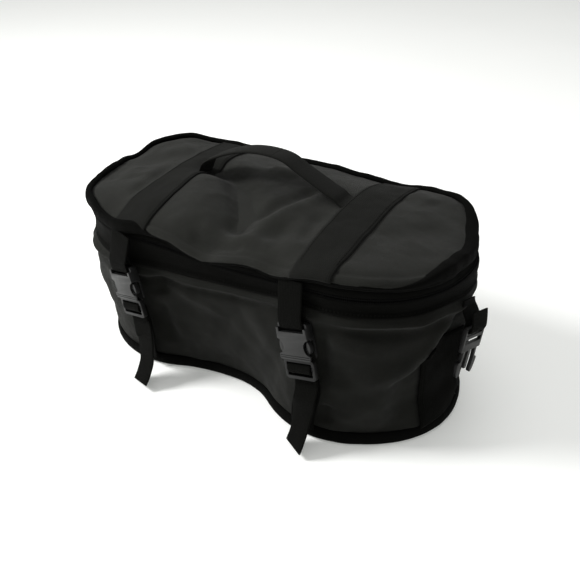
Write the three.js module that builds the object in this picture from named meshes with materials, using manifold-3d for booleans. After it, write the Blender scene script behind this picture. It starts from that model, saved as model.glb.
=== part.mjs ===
// Soft tail bag with a bean-shaped plan, a zipped lid, webbing bands, a carry handle,
// two side-release buckles on the front and a hanging buckle half at each end.
// Millimetres. +X along the bag, -Y is the concave front, +Z up, origin on the base's underside.
import * as THREE from "three";
import { mergeVertices } from "three/addons/utils/BufferGeometryUtils.js";
import Module from "manifold-3d";

// ---- Driving dimensions ----
const GAP = 0.3; // air between neighbouring pieces
const LID_Z = 161; // height of the lid's edge
const SEAM_Z = 122; // seam between the main wall and the zip band
const ZIP_Z = 142.8; // the line the zip opens along
const CROWN = 13; // how far the lid rises above its edge
const SAG = 8; // droop of the lid's front middle
const SAG_HALF_LENGTH = 70;
const WALL = 4; // padded wall
const BULGE = 3; // outward swell of the padded wall at mid height
const BASE_THICK = 3;
const BOARD_THICK = 2.5;
const WEB = 25; // strap webbing width
const WEB_THICK = 1.6;
const BAND = 38; // lid band width
const BAND_X = 92;
const BUCKLE_W = 33;
const SOCKET_H = 32;
const SOCKET_T = 9.4;
const PRONG_T = 2.6;
const END_BAND = 54; // anchor web on each end wall

// Plan outlines: two lobes as [x, y, radius], and where the outline crosses the middle.
const LID = { left: [-98, 0, 92], right: [98, 0, 92], front: -88, back: 94 };
const BASE = { left: [-92, -1, 82], right: [102, -10, 91], front: -66, back: 86 };
const ARC_STEPS = 6; // steps along each half of the front and back arcs
const LOBE_STEPS = 18; // steps round each lobe

// ---- Materials ----
const cloth = (hex) => new THREE.MeshStandardMaterial({ color: hex, roughness: 0.95, metalness: 0 });
const bodyCloth = cloth(0x232326);
const lidCloth = cloth(0x2e2f31);
const tape = cloth(0x131315);
const webbing = cloth(0x1c1c1e);
const foam = cloth(0x3a3a3c);
const board = new THREE.MeshStandardMaterial({ color: 0x1a1a1a, roughness: 0.7, metalness: 0 });
const plastic = new THREE.MeshStandardMaterial({ color: 0x18181a, roughness: 0.35, metalness: 0 });
const pullMetal = new THREE.MeshStandardMaterial({ color: 0x1b1b1d, roughness: 0.4, metalness: 0.6 });

const bag = new THREE.Group();
bag.name = "tail_bag";

function add(name, geometry, material, parent = bag) {
  geometry.computeVertexNormals();
  const mesh = new THREE.Mesh(geometry, material);
  mesh.name = name;
  parent.add(mesh);
  return mesh;
}

// ---- Plan outline made of tangent arcs ----
// One half: an arc through the middle of the front, the lobe, an arc to the middle of the back.
function halfOutline(lobe, front, back, side) {
  const [lobeX, lobeY, radius] = lobe;
  const reach = Math.abs(lobeX);
  const middleArc = (crossing, sign) => {
    const rise = lobeY - crossing;
    const slack = sign < 0 ? radius - rise : crossing - lobeY - radius;
    const arcRadius = (reach * reach + rise * rise - radius * radius) / (2 * slack);
    const centreY = crossing - arcRadius;
    const away = new THREE.Vector2(reach, lobeY - centreY).normalize();
    const touch = new THREE.Vector2(reach, lobeY).addScaledVector(away, sign * radius);
    return { arcRadius, centreY, touch };
  };
  const frontArc = middleArc(front, -1);
  const backArc = middleArc(back, 1);
  const angleTo = (p) => Math.atan2(p.y - lobeY, p.x - reach);
  const start = angleTo(frontArc.touch);
  const end = angleTo(backArc.touch);
  const points = [];
  const onMiddleArc = (arc, x) => arc.centreY + Math.sqrt(arc.arcRadius ** 2 - x * x);
  for (let i = 0; i < ARC_STEPS; i += 1) {
    const x = (frontArc.touch.x * i) / ARC_STEPS;
    points.push(new THREE.Vector2(x, onMiddleArc(frontArc, x)));
  }
  for (let i = 0; i < LOBE_STEPS; i += 1) {
    const angle = start + ((end - start) * i) / LOBE_STEPS;
    points.push(new THREE.Vector2(reach + radius * Math.cos(angle), lobeY + radius * Math.sin(angle)));
  }
  for (let i = 0; i < ARC_STEPS; i += 1) {
    const x = backArc.touch.x * (1 - i / ARC_STEPS);
    points.push(new THREE.Vector2(x, onMiddleArc(backArc, x)));
  }
  points.push(new THREE.Vector2(0, back));
  return points.map((p) => new THREE.Vector2(p.x * side, p.y));
}

function outline(plan) {
  const right = halfOutline(plan.right, plan.front, plan.back, 1);
  const left = halfOutline(plan.left, plan.front, plan.back, -1);
  return right.concat(left.slice(1, -1).reverse());
}

const lidOutline = outline(LID);
const baseOutline = outline(BASE);
const COUNT = lidOutline.length;

// Outward normals of a closed 2-D outline.
function outwardNormals(points) {
  return points.map((_, i) => {
    const before = points[(i + points.length - 1) % points.length];
    const after = points[(i + 1) % points.length];
    return new THREE.Vector2(after.y - before.y, before.x - after.x).normalize();
  });
}

const smooth = (v) => {
  const t = THREE.MathUtils.clamp(v, 0, 1);
  return t * t * (3 - 2 * t);
};

// The lid's front middle sags; the droop fades out down the wall and towards the back.
function droop(x, y, z) {
  const along = Math.exp(-((x / SAG_HALF_LENGTH) ** 2));
  return SAG * along * smooth(0.5 - y / 80) * smooth((z - 60) / 100);
}

// A ring of the bag's outside at height z, moved outwards by off.
function ring(z, off) {
  const t = THREE.MathUtils.clamp(z / LID_Z, 0, 1);
  const swell = z < SEAM_Z ? BULGE * Math.sin((Math.PI * Math.max(z, 0)) / SEAM_Z) : 0;
  const flat = baseOutline.map((p, i) => p.clone().lerp(lidOutline[i], t));
  const normals = outwardNormals(flat);
  return flat.map((p, i) => {
    const q = p.clone().addScaledVector(normals[i], off + swell);
    return new THREE.Vector3(q.x, q.y, z - droop(q.x, q.y, z));
  });
}

// ---- Mesh builders ----
function closedGeometry(vertices, faces) {
  let volume = 0;
  const cross = new THREE.Vector3();
  for (const [a, b, c] of faces) {
    volume += vertices[a].dot(cross.crossVectors(vertices[b], vertices[c]));
  }
  const ordered = volume < 0 ? faces.map(([a, b, c]) => [a, c, b]) : faces;
  const geometry = new THREE.BufferGeometry();
  geometry.setAttribute("position", new THREE.Float32BufferAttribute(vertices.flatMap((v) => v.toArray()), 3));
  geometry.setIndex(ordered.flat());
  return geometry;
}

function stitch(faces, first, second, count, wrap) {
  const steps = wrap ? count : count - 1;
  for (let i = 0; i < steps; i += 1) {
    const j = (i + 1) % count;
    faces.push([first + i, first + j, second + j], [first + i, second + j, second + i]);
  }
}

// Rings joined into a hoop whose last ring meets its first.
function hoop(rings) {
  const faces = [];
  rings.forEach((_, k) => stitch(faces, k * COUNT, ((k + 1) % rings.length) * COUNT, COUNT, true));
  return closedGeometry(rings.flat(), faces);
}

// Rings joined into a capped body; the two caps meet at given middle points.
function capped(rings, firstMiddle, lastMiddle) {
  const vertices = rings.flat().concat([firstMiddle, lastMiddle]);
  const faces = [];
  for (let k = 0; k < rings.length - 1; k += 1) {
    stitch(faces, k * COUNT, (k + 1) * COUNT, COUNT, true);
  }
  const last = (rings.length - 1) * COUNT;
  for (let i = 0; i < COUNT; i += 1) {
    const j = (i + 1) % COUNT;
    faces.push([vertices.length - 2, j, i], [vertices.length - 1, last + i, last + j]);
  }
  return closedGeometry(vertices, faces);
}

// A sheet given by at(u, v), thickened along its normal on the side of outward.
function sheet(uSteps, vSteps, at, thick, outward) {
  const inner = [];
  const outer = [];
  const step = 1e-3;
  for (let i = 0; i <= uSteps; i += 1) {
    for (let j = 0; j <= vSteps; j += 1) {
      const u = i / uSteps;
      const v = j / vSteps;
      const p = at(u, v);
      const du = at(Math.min(u + step, 1), v).sub(at(Math.max(u - step, 0), v));
      const dv = at(u, Math.min(v + step, 1)).sub(at(u, Math.max(v - step, 0)));
      const normal = du.cross(dv).normalize();
      if (normal.dot(outward(u, v)) < 0) normal.negate();
      inner.push(p);
      outer.push(p.clone().addScaledVector(normal, thick));
    }
  }
  const faces = [];
  const row = vSteps + 1;
  const total = inner.length;
  const id = (i, j, layer) => layer * total + i * row + j;
  for (let i = 0; i < uSteps; i += 1) {
    for (let j = 0; j < vSteps; j += 1) {
      for (const layer of [0, 1]) {
        const [a, b] = [id(i, j, layer), id(i + 1, j, layer)];
        const [c, d] = [id(i + 1, j + 1, layer), id(i, j + 1, layer)];
        if (layer === 0) faces.push([a, c, b], [a, d, c]);
        else faces.push([a, b, c], [a, c, d]);
      }
    }
  }
  const side = (p, q, flip) => {
    const [a, b, c, d] = [id(...p, 0), id(...q, 0), id(...q, 1), id(...p, 1)];
    if (flip) faces.push([a, c, b], [a, d, c]);
    else faces.push([a, b, c], [a, c, d]);
  };
  for (let i = 0; i < uSteps; i += 1) {
    side([i, 0], [i + 1, 0], false);
    side([i, vSteps], [i + 1, vSteps], true);
  }
  for (let j = 0; j < vSteps; j += 1) {
    side([0, j], [0, j + 1], true);
    side([uSteps, j], [uSteps, j + 1], false);
  }
  return closedGeometry(inner.concat(outer), faces);
}

// A flat strap whose middle line follows a smooth path; acrossAt gives its width's direction.
function strap(path, acrossAt, width, thick, steps) {
  const curve = new THREE.CatmullRomCurve3(path, false, "centripetal");
  const vertices = [];
  const faces = [];
  for (let i = 0; i <= steps; i += 1) {
    const u = i / steps;
    const along = curve.getTangent(u);
    const wide = acrossAt(u).addScaledVector(along, -acrossAt(u).dot(along)).normalize();
    const face = along.clone().cross(wide).normalize();
    for (const [a, b] of [[-1, -1], [1, -1], [1, 1], [-1, 1]]) {
      vertices.push(
        curve.getPoint(u).addScaledVector(wide, (a * width) / 2).addScaledVector(face, (b * thick) / 2),
      );
    }
    if (i > 0) stitch(faces, (i - 1) * 4, i * 4, 4, true);
  }
  const last = steps * 4;
  faces.push([0, 3, 2], [0, 2, 1], [last, last + 1, last + 2], [last, last + 2, last + 3]);
  return closedGeometry(vertices, faces);
}

// ---- Surface lookups ----
// The outside's y at a given x and z: front for side = -1, back for side = 1.
function surfaceY(x, z, off, side = -1) {
  const points = ring(z, off);
  for (let i = 0; i < COUNT; i += 1) {
    const a = points[i];
    const b = points[(i + 1) % COUNT];
    const crosses = (a.x - x) * (b.x - x) <= 0 && a.x !== b.x;
    if (crosses && a.y * side > 0) return a.y + ((b.y - a.y) * (x - a.x)) / (b.x - a.x);
  }
  return 0;
}

// A point on the end wall, by its angle round the lobe's axis.
function lobePoint(label, angle, z, off) {
  const t = z / LID_Z;
  const swell = z < SEAM_Z ? BULGE * Math.sin((Math.PI * z) / SEAM_Z) : 0;
  const [x, y, r] = BASE[label].map((value, i) => THREE.MathUtils.lerp(value, LID[label][i], t));
  const radius = r + swell + off;
  const turn = THREE.MathUtils.degToRad(label === "right" ? angle : 180 - angle);
  return new THREE.Vector3(x + radius * Math.cos(turn), y + radius * Math.sin(turn), z);
}

// Radius of the lid outline in the direction of (x, y) from the middle.
const lidAngles = lidOutline.map((p) => Math.atan2(p.y, p.x));
function lidReach(x, y) {
  const angle = Math.atan2(y, x);
  for (let i = 0; i < COUNT; i += 1) {
    const j = (i + 1) % COUNT;
    let span = lidAngles[j] - lidAngles[i];
    let offset = angle - lidAngles[i];
    if (span < -Math.PI) span += 2 * Math.PI;
    if (offset < -Math.PI) offset += 2 * Math.PI;
    if (offset > Math.PI) offset -= 2 * Math.PI;
    if (offset >= -1e-9 && offset <= span + 1e-9) {
      return lidOutline[i].clone().lerp(lidOutline[j], offset / span).length();
    }
  }
  return lidOutline[0].length();
}

function lidTop(x, y) {
  const share = Math.min(Math.hypot(x, y) / lidReach(x, y), 1);
  return LID_Z + CROWN * (1 - share ** 2.2) - droop(x, y, LID_Z) * (0.4 + 0.6 * share);
}

// ---- Base and main wall ----
const middle = (z) => new THREE.Vector3(0, 0, z);
add("base_panel", capped([ring(0, -0.5), ring(BASE_THICK, -0.5)], middle(0), middle(BASE_THICK)), bodyCloth);

const boardLow = BASE_THICK + GAP;
add(
  "base_board",
  capped(
    [ring(boardLow, -WALL - 3), ring(boardLow + BOARD_THICK, -WALL - 3)],
    middle(boardLow),
    middle(boardLow + BOARD_THICK),
  ),
  board,
);

const wallLevels = [BASE_THICK + GAP, 24, 48, 76, 102, SEAM_Z];
add(
  "main_wall",
  hoop(wallLevels.map((z) => ring(z, 0)).concat(wallLevels.toReversed().map((z) => ring(z, -WALL)))),
  bodyCloth,
);

const section = (pairs) => hoop(pairs.map(([off, z]) => ring(z, off)));
add("base_binding", section([[GAP, 0.4], [2.6, 1], [3.6, 4], [2.8, 8], [1.2, 9.4], [GAP, 9.4]]), tape);

// ---- Zip: the lower tape stays on the body, the upper one opens with the lid ----
const lowTop = ZIP_Z - GAP / 2;
const highFoot = ZIP_Z + GAP / 2;
const lowFoot = SEAM_Z + GAP;
add(
  "zip_tape_lower",
  section([[-1.8, lowFoot], [0.8, lowFoot], [1, lowFoot + 2.3], [0, lowFoot + 3.7], [0, 140.4], [1.1, 141.4], [1.1, lowTop], [-1.8, lowTop]]),
  tape,
);
add(
  "zip_tape_upper",
  section([[-1.8, highFoot], [1.1, highFoot], [1.1, 144.2], [0, 145.2], [0, 149], [-1.8, 149]]),
  tape,
);
add(
  "lid_boxing",
  section([[-2, 149.3], [0, 149.3], [0.1, 153], [0, 157.3], [-2, 157.3]]),
  lidCloth,
);
add(
  "lid_binding",
  section([[-1, 157.6], [0.5, 157.6], [0.5, 154], [2.6, 153.6], [3.8, 156.6], [3.3, 160.6], [1.2, 162.4], [-1, 162]]),
  tape,
);

// ---- Lid panel and its foam ----
const shrink = (points, share) => points.map((p) => new THREE.Vector2(p.x * share, p.y * share));
const lidNormals = outwardNormals(lidOutline);
const lidEdge = lidOutline.map((p, i) => p.clone().addScaledVector(lidNormals[i], -1.5));
const lidLayer = (share, drop) =>
  shrink(lidEdge, share).map((p) => new THREE.Vector3(p.x, p.y, lidTop(p.x, p.y) - drop));
const lidShares = [0.2, 0.45, 0.68, 0.86, 1];
const lidDisc = (high, low, shares) =>
  capped(
    shares
      .map((s) => lidLayer(s, low))
      .concat(shares.toReversed().map((s) => lidLayer(s, high))),
    new THREE.Vector3(0, 0, lidTop(0, 0) - low),
    new THREE.Vector3(0, 0, lidTop(0, 0) - high),
  );
add("lid_panel", lidDisc(0, 3, lidShares), lidCloth);
add("lid_foam", lidDisc(4.2, 9, [0.3, 0.62, 0.95]), foam);

// ---- Webbing bands across the lid ----
const up = () => new THREE.Vector3(0, 0, 1);
function lidBand(centreX) {
  const foot = -86;
  const head = 86;
  return sheet(
    14,
    3,
    (u, v) => {
      const x = centreX + (v - 0.5) * BAND;
      const y = foot + (head - foot) * u;
      return new THREE.Vector3(x, y, lidTop(x, y) + 0.5);
    },
    WEB_THICK,
    up,
  );
}
add("lid_band_left", lidBand(-BAND_X), webbing);
add("lid_band_right", lidBand(BAND_X), webbing);

// ---- Carry handle: a flat arch, and its two ends sewn down on the bands ----
const HANDLE_Y = 10;
const handlePath = [
  [-85, HANDLE_Y, 179],
  [-74, HANDLE_Y + 1, 184],
  [-58, HANDLE_Y + 2, 192],
  [-41, HANDLE_Y + 3, 198.5],
  [-24, HANDLE_Y + 3, 202.5],
  [-6, HANDLE_Y + 3, 203.5],
  [10, HANDLE_Y + 3, 201.5],
  [26, HANDLE_Y + 2, 194.5],
  [42, HANDLE_Y + 1, 187.5],
  [55, HANDLE_Y, 182],
  [66, HANDLE_Y, 179],
].map((p) => new THREE.Vector3(...p));
const handleAcross = () => new THREE.Vector3(0, 1, 0);
add("carry_handle", strap(handlePath, handleAcross, WEB, 2.4, 20), webbing);
function handleEnd(x0, x1) {
  return sheet(
    4,
    2,
    (u, v) => {
      const x = x0 + (x1 - x0) * u;
      const y = HANDLE_Y + (v - 0.5) * (WEB - 2);
      return new THREE.Vector3(x, y, lidTop(x, y) + 0.5 + WEB_THICK + 0.5);
    },
    WEB_THICK,
    up,
  );
}
add("handle_end_left", handleEnd(-110, -86), webbing);
add("handle_end_right", handleEnd(67.5, 91.5), webbing);

// ---- Booleans ----
const wasm = await Module();
wasm.setup();
function solid(geometry) {
  const bare = geometry.clone();
  bare.deleteAttribute("normal");
  bare.deleteAttribute("uv");
  const merged = mergeVertices(bare, 1e-4);
  return new wasm.Manifold(
    new wasm.Mesh({
      numProp: 3,
      vertProperties: new Float32Array(merged.attributes.position.array),
      triVerts: new Uint32Array(merged.index.array),
    }),
  );
}
function fromSolid(shape) {
  const mesh = shape.getMesh();
  const geometry = new THREE.BufferGeometry();
  geometry.setAttribute("position", new THREE.Float32BufferAttribute(mesh.vertProperties, 3));
  geometry.setIndex(Array.from(mesh.triVerts));
  return geometry;
}
const box = (x0, x1, y0, y1, z0, z1) => {
  const geometry = new THREE.BoxGeometry(x1 - x0, y1 - y0, z1 - z0);
  return geometry.translate((x0 + x1) / 2, (y0 + y1) / 2, (z0 + z1) / 2);
};
// A rounded plate in the x-z plane, centred on y = 0.
function plate(width, low, high, radius, thick, holes = []) {
  const half = width / 2;
  const rounded = (target, x0, x1, z0, z1, r) => {
    target.moveTo(x0 + r, z0);
    target.lineTo(x1 - r, z0);
    target.quadraticCurveTo(x1, z0, x1, z0 + r);
    target.lineTo(x1, z1 - r);
    target.quadraticCurveTo(x1, z1, x1 - r, z1);
    target.lineTo(x0 + r, z1);
    target.quadraticCurveTo(x0, z1, x0, z1 - r);
    target.lineTo(x0, z0 + r);
    target.quadraticCurveTo(x0, z0, x0 + r, z0);
    return target;
  };
  const shape = rounded(new THREE.Shape(), -half, half, low, high, radius);
  for (const [x0, x1, z0, z1] of holes) shape.holes.push(rounded(new THREE.Path(), x0, x1, z0, z1, 0.8));
  const geometry = new THREE.ExtrudeGeometry(shape, { depth: thick, bevelEnabled: false, curveSegments: 3 });
  return geometry.rotateX(Math.PI / 2).translate(0, thick / 2, 0);
}

// ---- Side-release buckle. Local axes: x across, +z towards the socket, -y outwards ----
// z = 0 is the line where the two halves meet.
function socketGeometry() {
  let shape = solid(plate(BUCKLE_W, 0, SOCKET_H, 4, SOCKET_T));
  const cavity = box(-13.2, 13.2, -3.1, 3.3, -1, 20);
  const backNotch = box(-15.2, 15.2, 2, 6, -1, 19);
  const sideWindow = box(-20, 20, -3.1, 3.3, -1, 17);
  const strapSlot = box(-13.2, 13.2, -6, 6, 24.4, 28.4);
  const frontPocket = box(-13.2, 13.2, -6, -1.7, 28, 33);
  const backPocket = box(-13.2, 13.2, 1.7, 6, 28, 33);
  for (const cut of [cavity, backNotch, sideWindow, strapSlot, frontPocket, backPocket]) {
    shape = shape.subtract(solid(cut));
  }
  return fromSolid(shape);
}

// The prong half: shoulder, middle tongue and the ladder-lock frame below.
function frameGeometry() {
  const ladder = plate(BUCKLE_W - 2, -18.6, -0.4, 3, 4, [[-13.2, 13.2, -7.4, -3.6], [-13.2, 13.2, -15.8, -10.4]]);
  const tongue = box(-2, 2, -1.1, 1.1, -2, 12.5);
  return fromSolid(solid(ladder).add(solid(tongue)));
}

// One sprung arm with its hooked head, for side = -1 or 1.
function armGeometry(side) {
  const profile = new THREE.Shape();
  const points = [
    [8.2, 0], [10.8, 0], [11.4, 5.8], [13.8, 6.4], [14.6, 8], [14.4, 13.4], [12, 15.4], [9.6, 14], [9.2, 7],
  ];
  points.forEach(([x, z], i) => (i ? profile.lineTo(x * side, z) : profile.moveTo(x * side, z)));
  profile.closePath();
  const geometry = new THREE.ExtrudeGeometry(profile, { depth: PRONG_T, bevelEnabled: false });
  return geometry.rotateX(Math.PI / 2).translate(0, PRONG_T / 2, 0);
}

const STAND_OFF = 7.4; // buckle's middle plane to the wall
function buckle({ label, meet, facing, lean, roll, ease }) {
  const place = new THREE.Group();
  const [x, z] = meet;
  place.position.set(x, surfaceY(x, z, 0) - STAND_OFF - ease, z);
  place.rotation.order = "ZXY";
  place.rotation.z = THREE.MathUtils.degToRad(facing);
  place.rotation.x = THREE.MathUtils.degToRad(lean);
  place.rotation.y = THREE.MathUtils.degToRad(-roll);
  bag.add(place);
  const outer = label === "left" ? -1 : 1;
  add(`socket_${label}`, socketGeometry(), plastic, place);
  add(`ladder_frame_${label}`, frameGeometry(), plastic, place);
  add(`release_arm_${label}_inner`, armGeometry(-outer), plastic, place);
  add(`release_arm_${label}_outer`, armGeometry(outer), plastic, place);
  place.updateMatrixWorld(true);
  return place;
}

// ---- Straps of a front buckle ----
// meet is [x, z] where the halves meet, facing its plan angle from -Y, lean its tilt off upright,
// roll its turn about its own front, and topX and footX where the straps are sewn.
function frontStraps(layout) {
  const { label, topX, footX, facing, tail, tailAcross } = layout;
  const place = buckle(layout);
  const local = (y, z) => place.localToWorld(new THREE.Vector3(0, y, z));
  const bar = new THREE.Vector3(1, 0, 0).transformDirection(place.matrixWorld);
  const turned = THREE.MathUtils.degToRad(facing);
  const level = new THREE.Vector3(Math.cos(turned), Math.sin(turned), 0);
  const blend = (a, b, t) => a.clone().lerp(b, smooth(t));
  // Upper strap: from under the lid's binding, over the zip band, round the socket's bar.
  const top = new THREE.Vector3(topX, surfaceY(topX, 152.4, 3), 152.4);
  top.z -= droop(topX, top.y, 152);
  const entry = local(-2.9, 37);
  const high = [
    top,
    top.clone().lerp(entry, 0.35),
    top.clone().lerp(entry, 0.72),
    entry,
    local(-3.2, 31),
    local(-2.4, 27.6),
    local(0, 26.6),
    local(2.4, 27.6),
    local(3.2, 31),
    local(2.2, 38),
    local(1.2, 44),
  ];
  add(`strap_upper_${label}`, strap(high, (u) => blend(level, bar, u / 0.45), WEB, WEB_THICK, 34), webbing);
  // Lower strap: sewn at the foot, up behind the ladder, over its middle bar, then a free tail.
  const foot = (z, off) => new THREE.Vector3(footX, surfaceY(footX, z, off), z);
  const low = [
    foot(10.6, 3.6),
    foot(24, 3.6),
    local(5.6, -27),
    local(5.4, -16),
    local(4.9, -9),
    local(2.6, -6.2),
    local(0, -5.6),
    local(-2.4, -6.4),
    local(-3.2, -9.4),
    local(-2.5, -11.9),
    local(0, -13.3),
    local(2.4, -14.6),
    local(3.2, -17.4),
    local(2.6, -27),
    ...tail.map((p) => new THREE.Vector3(...p)),
  ];
  const end = new THREE.Vector3(...tailAcross).normalize();
  const across = (u) => (u < 0.5 ? blend(level, bar, u / 0.16) : blend(bar, end, (u - 0.62) / 0.3));
  add(`strap_lower_${label}`, strap(low, across, WEB, WEB_THICK, 64), webbing);
}
frontStraps({
  label: "left",
  meet: [-93.7, 81.5],
  topX: -99.5,
  footX: -90,
  facing: -12.4,
  lean: 0.3,
  roll: 15,
  ease: 2.7,
  tail: [
    [-78.3, -104, 46.4], [-76.3, -106.5, 32.4], [-73.7, -110.5, 22.9],
    [-73.5, -115, 15.2], [-74.2, -118.5, 8.9], [-74.7, -122.3, 4.3],
  ],
  tailAcross: [0.9, -0.36, 0.22],
});
frontStraps({
  label: "right",
  meet: [87.2, 81.8],
  topX: 73,
  footX: 91,
  facing: -9.8,
  lean: -6.2,
  roll: 18,
  ease: 0.8,
  tail: [
    [96.4, -110.5, 46.3], [95.9, -112, 35], [96, -115, 25],
    [96.1, -119, 17.5], [95.6, -122.8, 11.1], [94.4, -125.4, 4.6],
  ],
  tailAcross: [0.85, -0.46, 0.25],
});

// ---- End walls: anchor web, hanging tab and buckle half ----
const CLIP_ANGLE = -5; // place of the tab round the lobe
const CLIP_FACE = -14; // direction the hanging half faces
const CLIP_Z = 100;
const CLIP_ROLL = THREE.MathUtils.degToRad(14); // lean of the hanging half about its outward axis
function clipGeometry() {
  const ladder = plate(BUCKLE_W - 2, -21, 1.5, 1.4, 3.2, [[-13.2, 13.2, -6.6, -1.5], [-13.2, 13.2, -14, -9.6]]);
  let shape = solid(ladder).add(solid(box(-2, 2, -1.1, 1.1, -39, -20)));
  for (const side of [-1, 1]) {
    const profile = new THREE.Shape();
    const points = [[7.6, -20], [9.4, -31], [8.6, -42], [10.6, -45.6], [13.4, -43], [15.4, -33], [14.2, -30.6], [11.4, -30.4], [11, -20]];
    points.forEach(([x, z], i) => (i ? profile.lineTo(x * side, z) : profile.moveTo(x * side, z)));
    profile.closePath();
    const arm = new THREE.ExtrudeGeometry(profile, { depth: 3, bevelEnabled: false });
    shape = shape.add(solid(arm.rotateX(Math.PI / 2).translate(0, 1.5, 0)));
  }
  return fromSolid(shape);
}
function endHardware(label) {
  const mirror = label === "right" ? 1 : -1;
  const halfAngle = THREE.MathUtils.radToDeg(END_BAND / 2 / 92);
  const webAngle = (v) => -14 + (2 * v - 1) * halfAngle;
  add(
    `end_web_${label}`,
    sheet(
      5,
      5,
      (u, v) => lobePoint(label, webAngle(v), 10.6 + 79 * u, 0.5),
      WEB_THICK,
      (u, v) => lobePoint(label, webAngle(v), 40, 100).sub(lobePoint(label, webAngle(v), 40, 0)),
    ),
    webbing,
  );
  const facing = THREE.MathUtils.degToRad(CLIP_FACE);
  const side = new THREE.Vector3(-mirror * Math.sin(facing), Math.cos(facing), 0);
  const place = new THREE.Group();
  place.position.copy(lobePoint(label, CLIP_ANGLE, CLIP_Z, 12.8));
  place.rotation.order = "ZYX";
  place.rotation.z = Math.atan2(side.y, side.x) + (label === "right" ? Math.PI : 0);
  place.rotation.y = -mirror * CLIP_ROLL;
  bag.add(place);
  add(`end_clip_${label}`, clipGeometry(), plastic, place);
  place.updateMatrixWorld(true);
  const near = (reach, z) => place.localToWorld(new THREE.Vector3(0, reach, z));
  const path = [
    lobePoint(label, CLIP_ANGLE + 3.5, CLIP_Z + 20, 3.8),
    lobePoint(label, CLIP_ANGLE + 2.7, CLIP_Z + 15, 4.6),
    near(-3.5, 5),
    near(-3.4, 0),
    near(-2.4, -2.6),
    near(0, -3.6),
    near(2.4, -2.6),
    near(3.4, 0),
    near(2.6, 6),
    near(0.4, 15),
  ];
  const level = new THREE.Vector3(-mirror * Math.sin(facing) * 0.2, 1, 0).normalize();
  const leaning = new THREE.Vector3(-mirror, 0, 0).transformDirection(place.matrixWorld);
  add(`end_tab_${label}`, strap(path, (u) => level.clone().lerp(leaning, smooth(u / 0.4)), WEB, WEB_THICK, 26), webbing);
}
endHardware("right");
endHardware("left");

// ---- Zip sliders and their pulls, parked at the back of the left end ----
function zipSlider(name, angle) {
  const seat = lobePoint("left", angle, ZIP_Z, 0);
  const centre = lobePoint("left", angle, ZIP_Z, -90);
  const place = new THREE.Group();
  place.position.copy(seat);
  place.rotation.z = Math.atan2(seat.y - centre.y, seat.x - centre.x);
  bag.add(place);
  let shape = solid(box(2, 4.4, -5.5, 5.5, -4, 4));
  shape = shape.add(solid(box(4, 8, -1.6, 1.6, 1, 4)));
  shape = shape.subtract(solid(box(4.4, 6.8, -3, 3, 0, 2.8)));
  add(`zip_slider_${name}`, fromSolid(shape), pullMetal, place);
  const ring1 = plate(8, -26, 2, 2, 1.4, [[-2.4, 2.4, -2.6, 0.4]]);
  ring1.rotateZ(Math.PI / 2).translate(5.6, 0, 0);
  add(`zip_pull_${name}`, ring1, pullMetal, place);
}
zipSlider("back", 38);
zipSlider("front", 28);

// ---- Fabric hinge across the back ----
add(
  "hinge_strip",
  sheet(
    10,
    2,
    (u, v) => {
      const x = -80 + 160 * u;
      const z = 131.6 + 10.8 * v;
      return new THREE.Vector3(x, surfaceY(x, z, 1.5, 1), z);
    },
    1,
    () => new THREE.Vector3(0, 1, 0),
  ),
  tape,
);

export default bag;
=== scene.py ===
"""A soft, bean-shaped tail bag: padded walls, a zipped lid, webbing, buckles and a carry handle."""

from math import atan2, cos, degrees, hypot, pi, radians, sin

import bmesh
import bpy
import numpy as np
from mathutils import Matrix, Vector, noise


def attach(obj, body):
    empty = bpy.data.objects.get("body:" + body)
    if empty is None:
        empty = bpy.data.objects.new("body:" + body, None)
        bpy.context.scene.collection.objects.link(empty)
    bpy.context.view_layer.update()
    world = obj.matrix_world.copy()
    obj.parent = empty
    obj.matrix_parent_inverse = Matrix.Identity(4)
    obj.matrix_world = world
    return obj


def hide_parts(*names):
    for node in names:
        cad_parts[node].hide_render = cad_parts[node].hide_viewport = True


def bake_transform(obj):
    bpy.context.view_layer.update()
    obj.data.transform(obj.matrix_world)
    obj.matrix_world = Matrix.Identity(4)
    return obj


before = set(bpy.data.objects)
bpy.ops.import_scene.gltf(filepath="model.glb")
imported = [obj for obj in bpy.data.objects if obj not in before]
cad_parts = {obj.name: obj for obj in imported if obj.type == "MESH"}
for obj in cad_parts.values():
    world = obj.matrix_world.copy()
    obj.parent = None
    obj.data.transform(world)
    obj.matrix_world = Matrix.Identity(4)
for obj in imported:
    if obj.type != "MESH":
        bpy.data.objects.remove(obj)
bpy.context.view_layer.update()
MM = 0.001


def in_scene(name, data):
    """A new object with that data, in the scene."""
    obj = bpy.data.objects.new(name, data)
    bpy.context.scene.collection.objects.link(obj)
    return obj


# ---- camera ----
def make_camera(azimuth=29.8, elevation=32.5, distance=0.775, slide=(0.017, 0.054), lens=46.55):
    """A camera looking down at the bag from its front right."""
    a, e = radians(azimuth), radians(elevation)
    right = Vector((cos(a), sin(a), 0))
    ahead = Vector((-sin(a) * cos(e), cos(a) * cos(e), -sin(e)))
    up = right.cross(ahead)
    cam = in_scene("camera", bpy.data.cameras.new("camera"))
    cam.data.sensor_width = 36
    cam.data.lens = lens
    cam.data.clip_start = 0.01
    place = -ahead * distance + right * slide[0] + up * slide[1]
    turn = Matrix((right, up, -ahead)).transposed()
    cam.matrix_world = Matrix.Translation(place) @ turn.to_4x4()
    bpy.context.scene.camera = cam


make_camera()


# ---- plan outlines and surfaces, in millimetres ----
# Heights of the lid's edge, of the seam under the zip band and of the zip.
LID_Z, SEAM_Z, ZIP_Z = 161.0, 122.0, 142.8
# How far the lid's middle rises, how far and how wide the front sags, and how far the wall swells.
CROWN, SAG, SAG_HALF, BULGE = 13.0, 8.0, 70.0, 3.0
# Each lobe is x, y and radius; front and back are the outline's y at x = 0.
LID = {"left": (-98, 0, 92), "right": (98, 0, 92), "front": -88, "back": 94}
BASE = {"left": (-92, -1, 82), "right": (102, -10, 91), "front": -66, "back": 86}
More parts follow.
